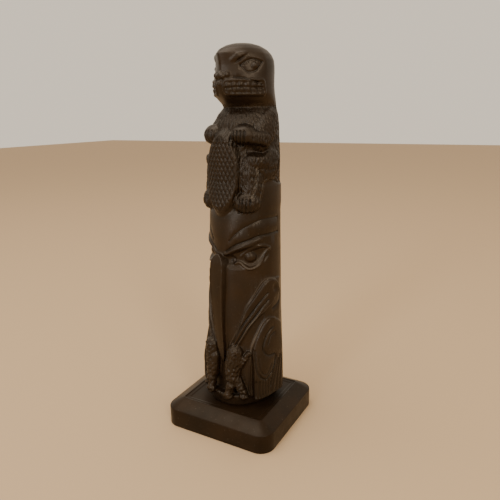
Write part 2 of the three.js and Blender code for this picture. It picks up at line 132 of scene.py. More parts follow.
# soften a given line: three times the points, on a Catmull-Rom curve through them
def curved(line, steps=3):
    if len(line) < 3:
        return line
    points = [line[0], *line, line[-1]]
    result = []
    for i in range(len(line) - 1):
        p0, p1, p2, p3 = (np.array(points[i + k], float) for k in range(4))
        for k in range(steps):
            t = k / steps
            bend = (2 * p0 - 5 * p1 + 4 * p2 - p3) * t ** 2 + (3 * p1 - p0 - 3 * p2 + p3) * t ** 3
            result.append(tuple(0.5 * (2 * p1 + (p2 - p0) * t + bend)))
    result.append(line[-1])
    return result


# how far each place is from a line of (degrees, up) points, on which side, and how far along it
def lineGap(around, up, line):
    gap = np.full(around.shape, np.inf)
    side = np.zeros(around.shape)
    along = np.zeros(around.shape)
    length = 0.0
    for (a0, u0), (a1, u1) in zip(line[:-1], line[1:]):
        ax, bx = aroundFrom(a0), aroundFrom(a1)
        dx, dy = bx - ax, u1 - u0
        size = math.hypot(dx, dy)
        t = np.clip(((around - ax) * dx + (up - u0) * dy) / size ** 2, 0, 1)
        here = np.hypot(around - ax - t * dx, up - u0 - t * dy)
        nearer = here < gap
        side = np.where(nearer, np.sign(dx * (up - u0) - dy * (around - ax)), side)
        along = np.where(nearer, length + t * size, along)
        gap = np.minimum(gap, here)
        length += size
    return gap, side, along / length


# a rounded ridge along a line, which may grow thin toward its ends
def ridge(around, up, line, half, rise, taper=0.0):
    gap, _, along = lineGap(around, up, curved(line))
    thin = 1 - taper * np.abs(2 * along - 1)
    inside = np.clip(1 - (gap / (half * np.maximum(thin, 0.05))) ** 2, 0, 1)
    return rise * thin * smooth(np.sqrt(inside))


# a rounded mound at (degrees, up), leaning by some degrees
def mound(around, up, at, size, rise, lean=0.0, edge=0.5):
    turn = math.radians(lean)
    dx, dy = around - aroundFrom(at[0]), up - at[1]
    u = (dx * math.cos(turn) + dy * math.sin(turn)) / size[0]
    v = (dy * math.cos(turn) - dx * math.sin(turn)) / size[1]
    return rise * np.clip(1 - u ** 2 - v ** 2, 0, 1) ** edge


def isInside(around, up, outline):
    corners = [(aroundFrom(a), u) for a, u in curved(outline)]
    odd = np.zeros(around.shape, bool)
    for (ax, ay), (bx, by) in zip(corners, corners[1:] + corners[:1]):
        if ay != by:
            crosses = ((ay > up) != (by > up)) & (around < ax + (up - ay) * (bx - ax) / (by - ay))
            odd ^= crosses
    return odd


# the bird's folded wings: a band that turns back at the shoulder, and a long feather leaf under it
wing = {
    "edge": [(7, 31), (15, 39.6), (24, 46.4), (29, 49.9), (37, 57.8), (43, 64.2), (51, 69), (61, 74.9),
             (69, 78.8), (78, 80.8), (89, 80.4), (97, 77.4), (101, 73.4), (98, 70.2), (91, 67.8), (84, 65.6),
             (74, 62.5), (57, 56.7), (47, 51.9), (38, 46.1), (28, 39.4), (18, 32)],
    "turnBack": 11,      # points of the edge before it turns back
    "top": 82, "under": 0.8, "band": 1.0, "soft": 0.8,
    "backEnd": 116, "backRun": 6,
    "feather": [(46, 4), (46, 9.6), (47, 26.7), (48, 36.1), (53, 42.5), (60, 48.1), (68, 53.3), (78, 56.2),
                (91, 55.1), (107, 49.8), (120, 42)],
    "featherTop": 57,
    "tip": {"rise": 2.6, "up": (48, 30), "width": 16},
    "recess": {"to": 70, "depth": 0.9, "up": (4, 10), "soft": 1.2},
    "spot": {"at": (89, 74.6), "size": (2.2, 3.0), "rise": 0.7, "lean": 25, "edge": 0.9},
}

# lines cut into the wing, each with half its width and its depth
wingCuts = [
    {"line": [(77, 72.2), (64, 67.4), (54, 62.4), (42, 56.2), (32, 50), (22, 41.4)],
     "half": 0.6, "rise": 0.75},
    {"line": [(78, 68), (67, 63.6), (57, 58.8), (44, 52.6), (30, 43), (20, 36)], "half": 0.6, "rise": 0.75},
    {"line": [(86, 50), (78, 48.2), (70, 43.6), (66, 37.8), (73, 33), (85, 32.4)],
     "half": 0.65, "rise": 0.6},
    {"line": [(54, 37), (54.6, 27), (58, 21.8), (64, 18.8), (71, 18.8), (81, 23), (90, 30)],
     "half": 0.65, "rise": 0.6},
    {"line": [(74, 40), (80, 45), (88, 46.5)], "half": 0.5, "rise": 0.4},
    {"line": [(59, 32.5), (60, 25.4), (64, 22.0), (71, 21.6), (79, 27)], "half": 0.5, "rise": 0.4},
    {"line": [(107, 71.5), (108, 66.5), (100, 63.2), (88, 61.4)], "half": 0.8, "rise": 0.6},
    {"line": [(93, 28), (83, 15.8), (78, 5.2)], "half": 0.6, "rise": 0.6},
    {"line": [(88, 32), (80, 18), (76, 12)], "half": 0.6, "rise": 0.6},
    {"line": [(98, 30), (90, 16), (86, 5)], "half": 0.6, "rise": 0.6},
    {"line": [(104, 30), (97, 16), (94, 5)], "half": 0.6, "rise": 0.6},
    {"line": [(111, 30), (105, 16), (103, 5)], "half": 0.6, "rise": 0.6},
]

# raised lines on the wing
quill = [(75, 67), (67, 62.8), (57, 57.6), (44, 51.6), (30, 41.8)]
wingRidges = [
    {"line": quill, "half": 0.45, "rise": 0.35},
    {"line": wing["edge"], "half": 0.45, "rise": 0.28},
    {"line": wing["feather"][:9], "half": 0.5, "rise": 0.5},
]

# short upright cuts: feather ends on the wing and round the back of the log
barbs = {
    "wing": {"degrees": (53, 57.5, 62, 66.5, 71, 75.5), "lean": 0.6, "top": 17.6, "half": 0.5, "rise": 0.45},
    "back": {"degrees": (106, 114, 122, 132, 143, 155, 168), "lean": 2, "top": 27, "half": 0.6, "rise": 0.4},
    "foot": 4,
}


def wingRise(around, up):
    shoulderGap, side, _ = lineGap(around, up, curved(wing["edge"][:wing["turnBack"]][::-1]))
    below = (side > 0) & (up < wing["top"])
    rise = np.where(below, wing["under"] * smooth(shoulderGap / wing["soft"]), 0)
    bandGap = lineGap(around, up, curved(wing["edge"]))[0]
    band = isInside(around, up, wing["edge"])
    rise += np.where(band, wing["band"] * smooth(bandGap / wing["soft"]), 0)
    featherGap, featherSide, _ = lineGap(around, up, curved(wing["feather"]))
    leaf = (featherSide < 0) & (up < wing["featherTop"])
    rise += np.where(leaf, wing["band"] * smooth(featherGap / wing["soft"]), 0)
    tip = wing["tip"]
    lift = fadeOut(up, *tip["up"]) * smooth(1 - featherGap / tip["width"])
    rise += np.where(leaf, tip["rise"] * lift, 0)
    recess = wing["recess"]
    inRecess = below & ~band & ~leaf & (around < aroundFrom(recess["to"]))
    sunk = fadeIn(up, *recess["up"]) * smooth(np.minimum(bandGap, featherGap) / recess["soft"])
    rise -= np.where(inRecess, recess["depth"] * sunk, 0)
    rise -= mound(around, up, **wing["spot"])
    return rise * fadeOut(around, aroundFrom(wing["backEnd"]), wing["backRun"])


def wingLines(around, up):
    cut = sum(ridge(around, up, **line) for line in wingCuts)
    cut -= sum(ridge(around, up, **line) for line in wingRidges)
    for row in (barbs["wing"], barbs["back"]):
        for degrees in row["degrees"]:
            line = [(degrees + row["lean"], row["top"]), (degrees, barbs["foot"])]
            cut += ridge(around, up, line, row["half"], row["rise"])
    return -cut


# the bird's face: two eye sockets with lids under long brows
bird = {
    "sockets": [
        {"at": (46, 94.6), "size": (14.5, 6.6), "rise": 2.6, "lean": 12, "edge": 0.8},
        {"at": (19, 93), "size": (4.4, 3.2), "rise": 1.8, "lean": -8, "edge": 0.8},
    ],
    "rim": {"line": [(12, 96.4), (20, 97.6), (30, 99.2), (44, 101.6), (56, 104), (66, 105.2)],
            "half": 1.8, "rise": 1.2, "taper": 0.4},
    "lidLower": {"line": [(82, 99.4), (76, 97), (68, 92.6), (60, 89.4), (50, 88), (42, 89.4), (34, 91.6),
                          (28, 91)],
                 "half": 1.0, "rise": 1.25, "taper": 0.3},
    "lidUpper": {"line": [(36, 95), (46, 98), (60, 100.6), (72, 101), (82, 99.4)],
                 "half": 1.3, "rise": 0.9, "taper": 0.4},
    "brows": [
        {"line": [(17, 104.4), (28, 108.6), (41, 112.2), (59, 115.3), (76, 117), (106, 116.6)],
         "half": 0.55, "rise": 0.45},
        {"line": [(11, 98), (24, 101.4), (36, 103.4), (56, 106), (70, 107.4), (106, 108)],
         "half": 0.65, "rise": 0.65},
    ],
    "eye": {"at": (52, 94.4), "sunk": 1.9, "size": (4.2, 4.2, 4.0)},
    "corner": {"at": (25, 92.4), "sunk": 0.6, "size": (1.3, 1.3, 1.0)},
}


def birdRise(around, up):
    rise = -sum(mound(around, up, **socket) for socket in bird["sockets"])
    for name in ("rim", "lidLower", "lidUpper"):
        rise += ridge(around, up, **bird[name])
    return rise


def birdLines(around, up):
    return -sum(ridge(around, up, **brow) for brow in bird["brows"])


# the seated animal's body: mounds and limbs that stand out to the old log's round, and the seat below them
body = {
    "tail": {"at": (0, 143.2), "size": (13.2, 25), "rise": 1, "edge": 1},
    "tailRise": 4.2, "tailSteep": 0.5, "tailRim": 0.12,
    "mounds": [
        {"at": (49.4, 138.2), "size": (8.6, 14.6), "rise": 3.6, "lean": 12},
        {"at": (80, 146), "size": (13.5, 9), "rise": 2.9, "lean": 24},
        {"at": (60, 149.4), "size": (9, 5), "rise": 3.9, "lean": -3},
        {"at": (43.6, 126.9), "size": (9, 6.2), "rise": 4.8},
    ],
    "paw": {"at": (36, 164.4), "size": (8.4, 5.6), "rise": 5.3},
    "forearm": {"line": [(34, 164), (52, 163), (72, 161.4)], "half": 4.4, "rise": 4.6},
    "upperArm": {"line": [(68, 162), (79, 166), (86, 171)], "half": 8, "rise": 2.4},
    "hollow": {"at": (57, 155.6), "size": (9.2, 3.4), "rise": 1.9, "lean": -2, "edge": 0.8},
    "seat": [(54, 119), (64, 124.4), (69, 132.2), (73, 137.4), (80, 139.4), (92, 138.6), (104, 137),
             (128, 135.6), (182, 135.6)],
    "seatFrom": 52, "seatRise": 0.45, "seatUp": (119, 6), "seatSoft": 0.7,
}


# true on the column under the seated animal
def belowSeat(around, side):
    return (side < 0) & (around > aroundFrom(body["seatFrom"]))


def bodyRise(around, up):
    tail = mound(around, up, **body["tail"])
    rise = body["tailRise"] * smooth(tail / body["tailSteep"] + body["tailRim"]) * (tail > 0)
    for shape in body["mounds"] + [body["paw"]]:
        rise = np.maximum(rise, mound(around, up, **shape))
    for name in ("forearm", "upperArm"):
        rise = np.maximum(rise, ridge(around, up, **body[name]))
    seatGap, seatSide, _ = lineGap(around, up, curved(body["seat"]))
    seat = body["seatRise"] * fadeIn(up, *body["seatUp"]) * smooth(seatGap / body["seatSoft"])
    rise = np.where(belowSeat(around, seatSide), seat, rise)
    return rise - mound(around, up, **body["hollow"])


# fine cuts on the body: coat, tail scales, fingers and toes; pairs are where a fade starts and its run
fur = {
    "pitch": 1.5, "depth": 0.34, "gap": (0.3, 0.7), "strand": 0.8, "strandSize": (1.3, 4.2, 1),
    "foot": (121, 2), "neck": (182.5, 3), "tailTop": (158, 2), "tailEdge": (0.08, 0.06), "knuckle": 0.4,
}
scales = {
    "pitch": 2.9, "across": 0.92, "slope": 0.56, "wall": 0.45, "depth": 0.55, "top": 160, "edge": (0.2, 0.12),
    "rim": 0.12, "rimOuter": (0.12, 0.05), "rimInner": (0.22, 0.06),
}
digits = [
    {"degrees": (21, 27, 33, 39, 45), "lean": 1, "top": 166, "foot": 158.5, "half": 0.7, "rise": 0.8},
    {"degrees": (35, 40.5, 46, 51.5), "lean": 1, "top": 129, "foot": 121, "half": 0.6, "rise": 0.6},
]


# where the coat is, 0 to 1: the body without its tail, its fingers and the column below
def coatAt(around, up):
    tail = mound(around, up, **body["tail"])
    seatSide = lineGap(around, up, curved(body["seat"]))[1]
    onTail = fadeIn(tail, *fur["tailEdge"]) * (1 - fadeIn(up, *fur["tailTop"]))
    knuckle = mound(around, up, **body["paw"]) / body["paw"]["rise"]
    coat = fadeIn(up, *fur["foot"]) * fadeOut(up, *fur["neck"]) * (1 - onTail)
    return np.where(belowSeat(around, seatSide), 0, coat * (1 - smooth(knuckle / fur["knuckle"])))


# two sets of slanting grooves that cross in lozenges
def scaleGrooves(around, up):
    grooves = []
    for slope in (scales["slope"], -scales["slope"]):
        wave = np.abs(((around * scales["across"] + up * slope) / scales["pitch"]) % 1 - 0.5) * 2
        grooves.append(smooth((wave - 1 + scales["wall"]) / scales["wall"]))
    return np.maximum(*grooves)


# how the rows of hair run: a ripple is its size in mm and its pace around and up the pole
hairRows = {
    "across": 0.95, "broad": (1.1, 0, 0.23), "fine": (0.35, 0.7, 0.5),
    "breaks": 1.7, "stagger": 2.4,      # how often a row breaks off, and how far the next is out of step
}


def ripple(around, up, size, paceAround, paceUp):
    return size * np.sin(around * paceAround + up * paceUp)


# rows of hair that swirl a little and break off
def hairGrooves(around, up):
    swirl = around * hairRows["across"] + ripple(around, up, *hairRows["broad"])
    swirl += ripple(around, up, *hairRows["fine"])
    hair = fadeIn(np.abs((swirl / fur["pitch"]) % 1 - 0.5) * 2, *fur["gap"])
    step = np.floor(swirl / fur["pitch"]) * hairRows["stagger"]
    return hair * (0.5 + 0.5 * np.sin(up * hairRows["breaks"] + step))


def furLines(around, up):
    tail = mound(around, up, **body["tail"])
    onTail = fadeIn(tail, *scales["edge"]) * (up < scales["top"])
    rim = fadeIn(tail, *scales["rimOuter"]) * fadeOut(tail, *scales["rimInner"])
    cut = scales["depth"] * scaleGrooves(around, up) * onTail - scales["rim"] * rim
    cut += fur["depth"] * hairGrooves(around, up) * coatAt(around, up)
    for row in digits:
        for degrees in row["degrees"]:
            line = [(degrees, row["top"]), (degrees - row["lean"], row["foot"])]
            cut += ridge(around, up, line, row["half"], row["rise"])
    return -cut


# the head: eye, brow, nose and the framed tooth panel
face = {
    "eyeHollow": {"at": (64, 200.6), "size": (9.6, 3.8), "rise": 0.25, "lean": 3, "edge": 0.9},
    "eye": {"at": (63, 200.3), "sunk": 0.9, "size": (2.2, 2.2, 1.9)},
    "brow": {"line": [(29, 203.4), (40, 205.4), (52, 207.2)], "half": 1.7, "rise": 0.8, "taper": 0.5},
    "nose": [
        {"at": (3, 195.8), "size": (2.6, 2.0), "rise": 1.5},
        {"at": (12, 195.2), "size": (1.9, 1.7), "rise": 1.9},
        {"at": (21, 196), "size": (1.8, 1.6), "rise": 1.7},
        {"at": (2, 191.6), "size": (3, 1.8), "rise": 1.2},
    ],
    "cuts": [
        {"line": [(27, 194.6), (48, 193.9), (70, 192.2), (84, 190.6)], "half": 0.6, "rise": 0.5},
        {"line": [(41, 200.7), (52, 202.5), (63, 203.5), (74, 203.7), (87, 202.4)],
         "half": 0.6, "rise": 0.65},
        {"line": [(41, 200.7), (50, 198.4), (57, 197.2), (70, 197.5), (80, 199.6), (87, 202.4)],
         "half": 0.5, "rise": 0.45},
        {"line": [(47, 200.4), (55, 201.8), (65, 202.4), (75, 202.1)], "half": 0.4, "rise": 0.3},
        {"line": [(30, 201.8), (40, 203.8), (51, 205.4)], "half": 0.9, "rise": 0.7, "taper": 0.5},
    ],
}
mouth = {
    "from": 13, "to": 81, "low": 185.4, "high": 193, "corner": 2.6, "frame": 0.9, "frameHalf": 1.1,
    "sunk": 1.25, "sunkEdge": (0.5, 0.6),
    "teeth": 6, "toothRise": 1.75, "square": 2.4, "toothRoot": (3.2, 0.8), "toothTip": (0.1, 0.6),
    "toothEdge": (0.6, 0.4), "margin": 1, "biteUp": 0.2, "bite": 0.4, "biteSlope": 0.9,
}


# how deep inside the rounded tooth panel a place lies, in mm
def panelDepth(around, up):
    left, right = aroundFrom(mouth["from"]), aroundFrom(mouth["to"])
    low, high, corner = mouth["low"], mouth["high"], mouth["corner"]
    qa = np.abs(around - (left + right) / 2) - (right - left) / 2 + corner
    qu = np.abs(up - (low + high) / 2) - (high - low) / 2 + corner
    outside = np.hypot(np.maximum(qa, 0), np.maximum(qu, 0)) + np.minimum(np.maximum(qa, qu), 0)
    return corner - outside


def toothRise(around, up, inside):
    left, right = aroundFrom(mouth["from"]) + mouth["margin"], aroundFrom(mouth["to"]) - mouth["margin"]
    share = (around - left) / (right - left)
    within = np.abs((share * mouth["teeth"]) % 1 - 0.5) * 2
    middle = (mouth["low"] + mouth["high"]) / 2 + mouth["biteUp"]
    fromBite = np.abs(up - middle + mouth["biteSlope"] * np.abs(share - mouth["bite"]))
    tooth = np.clip(1 - within ** mouth["square"], 0, 1)
    tooth *= fadeIn(fromBite, *mouth["toothTip"]) * fadeOut(fromBite, *mouth["toothRoot"])
    return mouth["toothRise"] * np.sqrt(np.clip(tooth, 0, 1)) * fadeIn(inside, *mouth["toothEdge"])


def faceRise(around, up):
    rise = ridge(around, up, **face["brow"]) - mound(around, up, **face["eyeHollow"])
    rise += sum(mound(around, up, **bump) for bump in face["nose"])
    inside = panelDepth(around, up)
    rise += mouth["frame"] * np.clip(1 - (np.abs(inside) / mouth["frameHalf"]) ** 2, 0, 1)
    rise -= mouth["sunk"] * fadeIn(inside, *mouth["sunkEdge"])
    return rise + toothRise(around, up, inside)


def faceLines(around, up):
    return -sum(ridge(around, up, **line) for line in face["cuts"])


# the chipped shin, and pale lines along ridges that are painted highlights, 0 to 1, for the finish
chippedAndHighlit = {
    "shin": {"line": [(64, 146), (63, 142), (61, 138), (57, 133), (54, 129)], "half": 1.0, "rise": 1},
    "chip": 0.45, "edges": 0.7,
    # pale lines along these ridges are painted highlights
    "paintedHighlights": [
        {"line": wing["feather"][2:8], "half": 0.7, "rise": 0.55, "taper": 0.6},
        {"line": wing["edge"], "half": 0.6, "rise": 0.3},
        {"line": quill, "half": 0.6, "rise": 0.45, "taper": 0.6},
        {"line": body["seat"][1:5], "half": 0.5, "rise": 0.6},
        {"line": bird["lidLower"]["line"], "half": 0.6, "rise": 0.35},
    ],
}


def chipsAndHighlightsAt(around, up):
    chips = ridge(around, up, **chippedAndHighlit["shin"])
    ragged = np.sin(up * 4.1 + 1) * np.sin(around * 3.3 + up * 1.7)
    chips *= smooth(0.5 + 0.6 * ragged + 0.3 * np.sin(up * 9))
    # painted highlights: pale lines along the ridges
    edges = sum(ridge(around, up, **line) for line in chippedAndHighlit["paintedHighlights"])
    return chips, np.clip(edges * chippedAndHighlit["edges"], 0, 1)


# the heights between which each part of the carving lies
reach = {"wing": 86, "wingLines": 90, "bird": (82, 124), "birdLines": (84, 124),
         "body": (116, 184), "bodyLines": (120, 184), "head": 180}


def between(up, span):
    return (up > span[0]) & (up < span[1])


def carvedRise(around, up):
    rise = wingRise(around, up) * (up < reach["wing"])
    rise += birdRise(around, up) * between(up, reach["bird"])
    rise += bodyRise(around, up) * between(up, reach["body"])
    return rise + faceRise(around, up) * (up > reach["head"])


def fineCuts(around, up):
    cuts = wingLines(around, up) * (up < reach["wingLines"])
    cuts += birdLines(around, up) * between(up, reach["birdLines"])
    cuts += furLines(around, up) * between(up, reach["bodyLines"])
    return cuts + faceLines(around, up) * (up > reach["head"])


# the carved skin's points, in mm, at some degrees from the front
def skinPoints(degrees, up):
    rows = ("back", "half", "front", "rear", "square")
    size = {row: np.interp(up, column["at"], column[row]) for row in rows}
    sine, cosine = np.sin(np.radians(degrees)), np.cos(np.radians(degrees))
    power = 2 / np.where(cosine > 0, size["square"], column["backSquare"])
    deep = np.where(cosine > 0, size["front"], size["rear"])
    x = size["half"] * np.sign(sine) * np.abs(sine) ** power
    y = size["back"] - deep * np.sign(cosine) * np.abs(cosine) ** power
    out = np.maximum(np.hypot(x, y), 1e-6)
    rise = carvedRise(np.abs(aroundFrom(degrees)), up)
    return np.stack([x + x / out * rise, y + y / out * rise, up], 1)


def onSkin(degrees, up, over):
    point = skinPoints(np.array([float(degrees)]), np.array([float(up)]))[0]
    out = Vector((point[0], point[1], 0)).normalized()
    return Vector(point) + out * over


# a grid wrapped round the log, its seam welded and its ends closed
def makeLog():
    shape = bmesh.new()
    bmesh.ops.create_grid(shape, x_segments=column["acrossGrid"], y_segments=column["upGrid"], size=0.5)
    shape.verts.ensure_lookup_table()
    flat = np.array([vertex.co[:2] for vertex in shape.verts])
    top = column["at"][-1]
    up = column["bottom"] + (flat[:, 1] + 0.5) * (top - column["bottom"])
    points = skinPoints(flat[:, 0] * 360, up)
    for vertex, point in zip(shape.verts, points):
        vertex.co = point
    bmesh.ops.remove_doubles(shape, verts=shape.verts, dist=0.01)
    rim = [edge for edge in shape.edges if edge.is_boundary]
    filled = bmesh.ops.holes_fill(shape, edges=rim, sides=0)
    poked = bmesh.ops.poke(shape, faces=filled["faces"])
    crown = max(poked["verts"], key=lambda vertex: vertex.co.z)
    crown.co.z = column["top"]
    bmesh.ops.recalc_face_normals(shape, faces=shape.faces)
    return shape


# segments: a ball's and a limb end's around and from top to bottom, a limb's around
roundness = {"ball": (28, 18), "limb": 24, "end": (20, 14)}


# pieces that stand clear of the log, made on both sides
def addBall(shape, at, size):
    ring, rows = roundness["ball"]
    for side in (1, -1):
        place = Matrix.Translation((at[0] * side, at[1], at[2])) @ Matrix.Diagonal((*size, 1))
        bmesh.ops.create_uvsphere(shape, u_segments=ring, v_segments=rows, radius=1, matrix=place)


def addEye(shape, at, sunk, size):
    addBall(shape, onSkin(*at, -sunk), size)


def addLimb(shape, start, finish, thick):
    ring, rows = roundness["end"]
    for side in (1, -1):
        a, b = (Vector((point[0] * side, point[1], point[2])) for point in (start, finish))
        turned = (b - a).to_track_quat("Z", "Y").to_matrix().to_4x4()
        place = Matrix.Translation((a + b) / 2) @ turned
        bmesh.ops.create_cone(shape, cap_ends=True, segments=roundness["limb"], radius1=thick[0],
                              radius2=thick[1], depth=(b - a).length, matrix=place)
        for at, radius in ((a, thick[0]), (b, thick[1])):
            end = Matrix.Translation(at)
            bmesh.ops.create_uvsphere(shape, u_segments=ring, v_segments=rows, radius=radius, matrix=end)


# the beak's half width and its reach to the front at each height
beak = {
    "tip": 26.5, "top": 96.5, "inner": 14, "crown": 0.35, "lip": 0.4, "lipFrom": 0.85,
    "rows": 40, "columns": 10,
    "at": [26.5, 30, 38, 50, 60, 70, 80, 87, 91, 94, 96, 96.5],
    "half": [0.6, 1.7, 2.8, 3.3, 3.9, 4.6, 5.1, 5.1, 4.7, 3.6, 2.0, 0.9],
    "front": [21.6, 22.4, 23.6, 24.8, 25.4, 25.8, 25.8, 25.4, 25.0, 24.4, 23.8, 23.4],
}


# an upright grid laid over the beak's outline, thickened back into the log
def addBeak(shape):
    made = bmesh.ops.create_grid(shape, x_segments=beak["columns"], y_segments=beak["rows"], size=0.5)
    for vertex in made["verts"]:
        across, up = vertex.co.x * 2, beak["tip"] + (vertex.co.y + 0.5) * (beak["top"] - beak["tip"])
        half = np.interp(up, beak["at"], beak["half"])
        front = np.interp(up, beak["at"], beak["front"]) + beak["crown"] * (1 - across ** 2)
        front += beak["lip"] * (abs(across) > beak["lipFrom"])
        vertex.co = (across * half, -front, up)
    back = bmesh.ops.extrude_face_region(shape, geom=shape.faces[:])
    for item in back["geom"]:
        if isinstance(item, bmesh.types.BMVert):
            item.co.y = -beak["inner"]
    bmesh.ops.recalc_face_normals(shape, faces=shape.faces)


# a leg's limbs (start, end, radii), its joints and claws (middle, radius), and the relief of its skin
leg = {
    "limbs": [
        ((9.2, -20.2, 35.4), (9, -21.6, 20), (5, 4.1)),
        ((6.6, -21.6, 29), (8, -22.4, 18), (3.6, 4)),
        ((8.6, -22, 19), (7.6, -24.6, 10), (3.5, 2.7)),
        ((10.2, -21.2, 18.4), (14.6, -19.8, 10), (3.4, 2.6)),
        ((12, -19.8, 27), (17, -16.8, 35.4), (2.6, 1.4)),
    ],
    "joints": [((8.2, -24.2, 13.6), 3.0), ((13.4, -21, 12.6), 2.7)],
    "claws": [((7.2, -25.3, 7.2), 3.1), ((15, -19.6, 7.2), 3.0)],
    "shag": 0.75, "grain": (1.5, 1.5, 1.9),
    "proud": (0.4, 0.8), "side": (aroundFrom(50), 3), "top": (42, 4), "foot": (4.4, 2),
}

# the ledge under the claws
ledge = {"half": 19.4, "front": 25, "rear": 18.6, "square": 2.2, "thick": 6.6, "segments": 96}


def addLedge(shape):
    made = bmesh.ops.create_cone(shape, cap_ends=True, segments=ledge["segments"],
                                 radius1=1, radius2=1, depth=1)
    power = 2 / ledge["square"]
    for vertex in made["verts"]:
        x, y, z = vertex.co
        deep = ledge["front"] if y < 0 else ledge["rear"]
        vertex.co = (ledge["half"] * math.copysign(abs(x) ** power, x),
                     deep * math.copysign(abs(y) ** power, y),
                     ledge["thick"] if z > 0 else 0)


def makeCarving():
    shape = bmesh.new()
    addBeak(shape)
    for limb in leg["limbs"]:
        addLimb(shape, *limb)
    for at, radius in leg["joints"] + leg["claws"]:
        addBall(shape, at, (radius, radius, radius))
    addEye(shape, **bird["eye"])
    addEye(shape, **face["eye"])
    addEye(shape, **bird["corner"])
    addLedge(shape)
    mesh = bpy.data.meshes.new("carving")
    shape.to_mesh(mesh)
    shape.free()
    log = makeLog()
    log.from_mesh(mesh)
    log.to_mesh(mesh)
    log.free()
    print("log carved")
    return mesh


casting = {
    "voxel": 0.42, "keep": 190000, "soften": 2, "softenBy": 0.5,
    "footClear": 6.9,    # no fine cuts below this, on the ledge
    "loose": 1.2,        # what stands further off the log than this gets no chips and no painted highlights
    "beak": {"half": 5.4, "front": 21, "span": (26, 97)},
}


def bakeModifier(piece):
    depsgraph = bpy.context.evaluated_depsgraph_get()
    baked = bpy.data.meshes.new_from_object(piece.evaluated_get(depsgraph))
    piece.modifiers.clear()
    old = piece.data
    piece.data = baked
    bpy.data.meshes.remove(old)


def shadeSmooth(piece):
    piece.data.polygons.foreach_set("use_smooth", [True] * len(piece.data.polygons))


# fuse the log, beak, legs and ledge into one closed skin
def fuse(piece):
    remesh = piece.modifiers.new("fuse", "REMESH")
    remesh.mode = "VOXEL"
    remesh.voxel_size = casting["voxel"]
    bakeModifier(piece)
    print("fused", len(piece.data.vertices))
    soften = piece.modifiers.new("soften", "SMOOTH")
    soften.factor = casting["softenBy"]
    soften.iterations = casting["soften"]
    bakeModifier(piece)


# uneven carving: noise at the given points, worked out only where the mask shows
def grain(points, mask, size):
    result = np.zeros(len(points))
    for i in np.flatnonzero(mask > 0.01):
        place = Vector((points[i][0] / size[0], points[i][1] / size[1], points[i][2] / size[2]))
        result[i] = noise.noise(place) + 0.5 * noise.noise(place * 2.1)
    return result


# where the legs stand out from the log's skin, 0 to 1
def legsAt(around, up, proud):
    legs = fadeIn(proud, *leg["proud"]) * fadeOut(around, *leg["side"])
    return legs * fadeOut(up, *leg["top"]) * fadeIn(up, *leg["foot"])


def storeLayer(mesh, name, values):
    layer = mesh.attributes.new(name, "FLOAT", "POINT")
    layer.data.foreach_set("value", values.astype(np.float32))


# cut the fine lines into the fused skin and note where it is cut, which takes painted shade, and where it is
# chipped or takes painted highlights
def cutFineLines(mesh):
    points = np.empty(len(mesh.vertices) * 3)
    mesh.vertices.foreach_get("co", points)
    points = points.reshape(-1, 3)
    up = points[:, 2]
    degrees = np.degrees(np.arctan2(points[:, 0], -points[:, 1]))
    around = np.abs(aroundFrom(degrees))
    clear = np.hypot(points[:, 0], points[:, 1])
    skin = skinPoints(degrees, up)
    proud = clear - np.hypot(skin[:, 0], skin[:, 1])
    box = casting["beak"]
    onBeak = (np.abs(points[:, 0]) < box["half"]) & (points[:, 1] < -box["front"]) & between(up, box["span"])
    cuts = np.where(onBeak | (up < casting["footClear"]), 0, fineCuts(around, up))
    legs = legsAt(around, up, proud)
    cuts = cuts * (1 - legs) + np.where(onBeak, 0, legs * leg["shag"] * grain(points, legs, leg["grain"]))
    coat = coatAt(around, up)
    strands = np.stack([around, up, np.zeros(len(points))], 1)
    cuts -= fur["strand"] * coat * np.abs(grain(strands, coat, fur["strandSize"]))
    chips, edges = chipsAndHighlightsAt(around, up)
    onSkinOnly = (proud < casting["loose"]) & ~onBeak
    cuts -= np.where(onSkinOnly, chips * chippedAndHighlit["chip"], 0)
    points[:, 0] *= 1 + cuts / clear
    points[:, 1] *= 1 + cuts / clear
    points[:, 2] = np.clip(up, 0, column["top"])
    mesh.vertices.foreach_set("co", points.ravel())
    # the cut layer drives the painted shade in the cuts
    storeLayer(mesh, "cut", np.clip(-cuts, 0, 1))
    # the chips, and the painted highlights along the ridges
    storeLayer(mesh, "chips_and_highlights", np.where(onSkinOnly, np.clip(chips + edges, 0, 1), 0))


def makePole():
    piece = bpy.data.objects.new("pole_casting", makeCarving())
    bpy.context.scene.collection.objects.link(piece)
    fuse(piece)
    cutFineLines(piece.data)
    thin = piece.modifiers.new("thin", "DECIMATE")
    thin.ratio = min(1, casting["keep"] / (2 * len(piece.data.polygons)))
    bakeModifier(piece)
    piece.data.transform(Matrix.Diagonal((mm, mm, mm * stand["height"] / column["top"], 1)))
    piece.data.transform(toPlinth)
    shadeSmooth(piece)
    print("pole cast", len(piece.data.polygons))
    return piece


pole = makePole()
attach(pole, "root")
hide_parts("carved_pole")

# the plinth, in mm; each step of its top is (drawn in by, below the top)
plinth = {
    "side": 11.7, "corner": 9.2, "cornerSegments": 12, "tighten": 0.8, "tightest": 1,
    "edge": 0.8, "edgeSegments": 3, "edgeAngle": 16,
    "steps": [(8.9, 0.0), (9.6, 0.55), (11.4, 0.5), (12.1, 0.8)],
}


# a point of the plinth's rounded outline, drawn in by some mm; the corners grow tighter on the way
def drawnIn(point, inset, halves):
    radius = plinth["corner"]
    tight = max(radius - inset * plinth["tighten"], plinth["tightest"])
    moved = []
    for value, half in zip(point, halves):
        straight, inner = half - radius, half - inset - tight
        size = abs(value)
        onCorner = inner + (size - straight) * tight / radius
        moved.append(math.copysign(onCorner if size > straight else size * inner / straight, value))
    return moved


